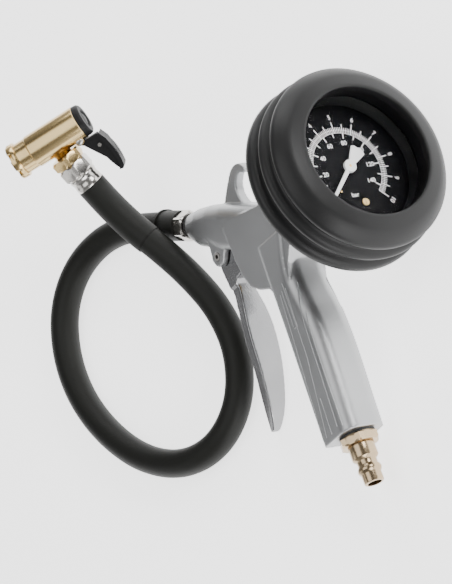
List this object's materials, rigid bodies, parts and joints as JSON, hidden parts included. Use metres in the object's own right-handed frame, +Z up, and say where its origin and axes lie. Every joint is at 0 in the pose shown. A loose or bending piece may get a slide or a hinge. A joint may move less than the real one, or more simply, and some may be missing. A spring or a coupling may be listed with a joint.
{
  "type": "tyre inflator with gauge",
  "caption": "Hand-held tyre inflator: pistol-grip cast body with a booted dial gauge, squeeze lever, short hose and a clip-on chuck.",
  "frame": {"origin": "centre of the gun's footprint box on the surface it lies on, measured without the hose and the chuck", "axes": "+Z up from the surface; +X the way the barrel points, seen from above; the handle points toward +Y"},
  "size_m": [0.2688, 0.2349, 0.0991],
  "materials": {
    "casting": "satin die cast with polished ribs",
    "lever_alloy": "bright polished casting",
    "black_plastic": "moulded black nylon with a fine grain",
    "boot_rubber": "soft black rubber",
    "hose_rubber": "matte black rubber hose with a faint olive cast",
    "seal_rubber": "nitrile seal",
    "case_steel": "black enamelled pressed steel",
    "bezel_chrome": "polished",
    "clear_lens": "clear flat lens",
    "dial_black": "matt black dial with printed scales",
    "pointer_white": "matt white",
    "gauge_brass": "turned",
    "chuck_brass": "pale turned brass",
    "plug_brass": "bright nickel-tinted brass",
    "nickel": "nickel plate",
    "spring_steel": "spring wire"
  },
  "bodies": {
    "gun": {"adapter_seal": "seal_rubber", "air_hose": "hose_rubber", "body_casting": "casting", "bourdon_tube": "gauge_brass", "chuck_barrel": "chuck_brass", "chuck_cap": "black_plastic", "chuck_jaws": "chuck_brass", "chuck_mouth": "chuck_brass", "chuck_seal": "seal_rubber", "chuck_spring": "spring_steel", "chuck_stem": "chuck_brass", "dial_plate": "dial_black", "dial_screw": "gauge_brass", "dial_spacer": "black_plastic", "gauge_bezel": "bezel_chrome", "gauge_case": "case_steel", "gauge_glass": "clear_lens", "gauge_socket": "gauge_brass", "glass_gasket": "seal_rubber", "guide_oring": "seal_rubber", "hairspring": "spring_steel", "hose_adapter": "nickel", "hose_ferrule": "nickel", "hose_nut": "nickel", "hose_sleeve": "hose_rubber", "inlet_plug": "plug_brass", "inlet_strainer": "gauge_brass", "inlet_washer": "seal_rubber", "kink_sleeve": "hose_rubber", "lever_pin": "nickel", "link_bar": "gauge_brass", "movement_front_plate": "gauge_brass", "movement_pillars": "gauge_brass", "movement_rear_plate": "gauge_brass", "pointer_stop": "gauge_brass", "rubber_boot": "boot_rubber", "socket_seal": "seal_rubber", "stem_oring": "seal_rubber", "swivel_nut": "nickel", "thumb_pin": "nickel", "tube_block": "gauge_brass", "tube_tip": "gauge_brass", "valve_guide": "gauge_brass", "valve_seat": "gauge_brass", "valve_spring": "spring_steel"},
    "trigger": {"trigger_lever": "lever_alloy"},
    "air_valve": {"valve_stem": "gauge_brass", "valve_disc": "seal_rubber"},
    "needle": {"pointer": "pointer_white", "pinion_arbor": "gauge_brass"},
    "sector": {"sector_gear": "gauge_brass"},
    "thumb": {"thumb_lever": "black_plastic", "thumb_rivet": "nickel"},
    "jaw_release": {"chuck_plunger": "chuck_brass", "depressor_pin": "gauge_brass"}
  },
  "joints": [
    {"name": "trigger_hinge", "type": "hinge", "parent": "gun", "child": "trigger", "pos_m": [0.04412, -0.04963, 0.0177], "axis": [0.2959, 0.1217, 0.9474], "range_deg": [0, 12], "stiffness_Nm_per_rad": 0.9, "springref_deg": -14.32},
    {"name": "valve_slide", "type": "slide", "parent": "gun", "child": "air_valve", "axis": [-0.9545, 0, 0.2982], "range_m": [0, 0.00197], "deforming": ["valve_spring"]},
    {"name": "needle_hinge", "type": "hinge", "parent": "gun", "child": "needle", "pos_m": [-0.06254, -0.04327, 0.0502], "axis": [0.9545, 0, -0.2982], "range_deg": [0, 270], "stiffness_Nm_per_rad": 0.0002, "springref_deg": -11.46, "deforming": ["hairspring"]},
    {"name": "sector_hinge", "type": "hinge", "parent": "gun", "child": "sector", "pos_m": [-0.05821, -0.03117, 0.04729], "axis": [0.9545, 0, -0.2982], "range_deg": [-60, 0]},
    {"name": "thumb_hinge", "type": "hinge", "parent": "gun", "child": "thumb", "pos_m": [0.09031, -0.12709, 0.05348], "axis": [0.4133, -0.535, -0.7368], "range_deg": [0, 20], "stiffness_Nm_per_rad": 0.3, "springref_deg": -11.46},
    {"name": "release_slide", "type": "slide", "parent": "gun", "child": "jaw_release", "axis": [-0.9102, -0.2186, -0.3518], "range_m": [0, 0.00105], "deforming": ["chuck_spring"]}
  ],
  "couplings": [
    {"joint": "valve_slide", "follows": "trigger_hinge", "m_per_rad": 0.0094},
    {"joint": "sector_hinge", "follows": "needle_hinge", "ratio": -0.22},
    {"joint": "release_slide", "follows": "thumb_hinge", "m_per_rad": 0.003}
  ]
}
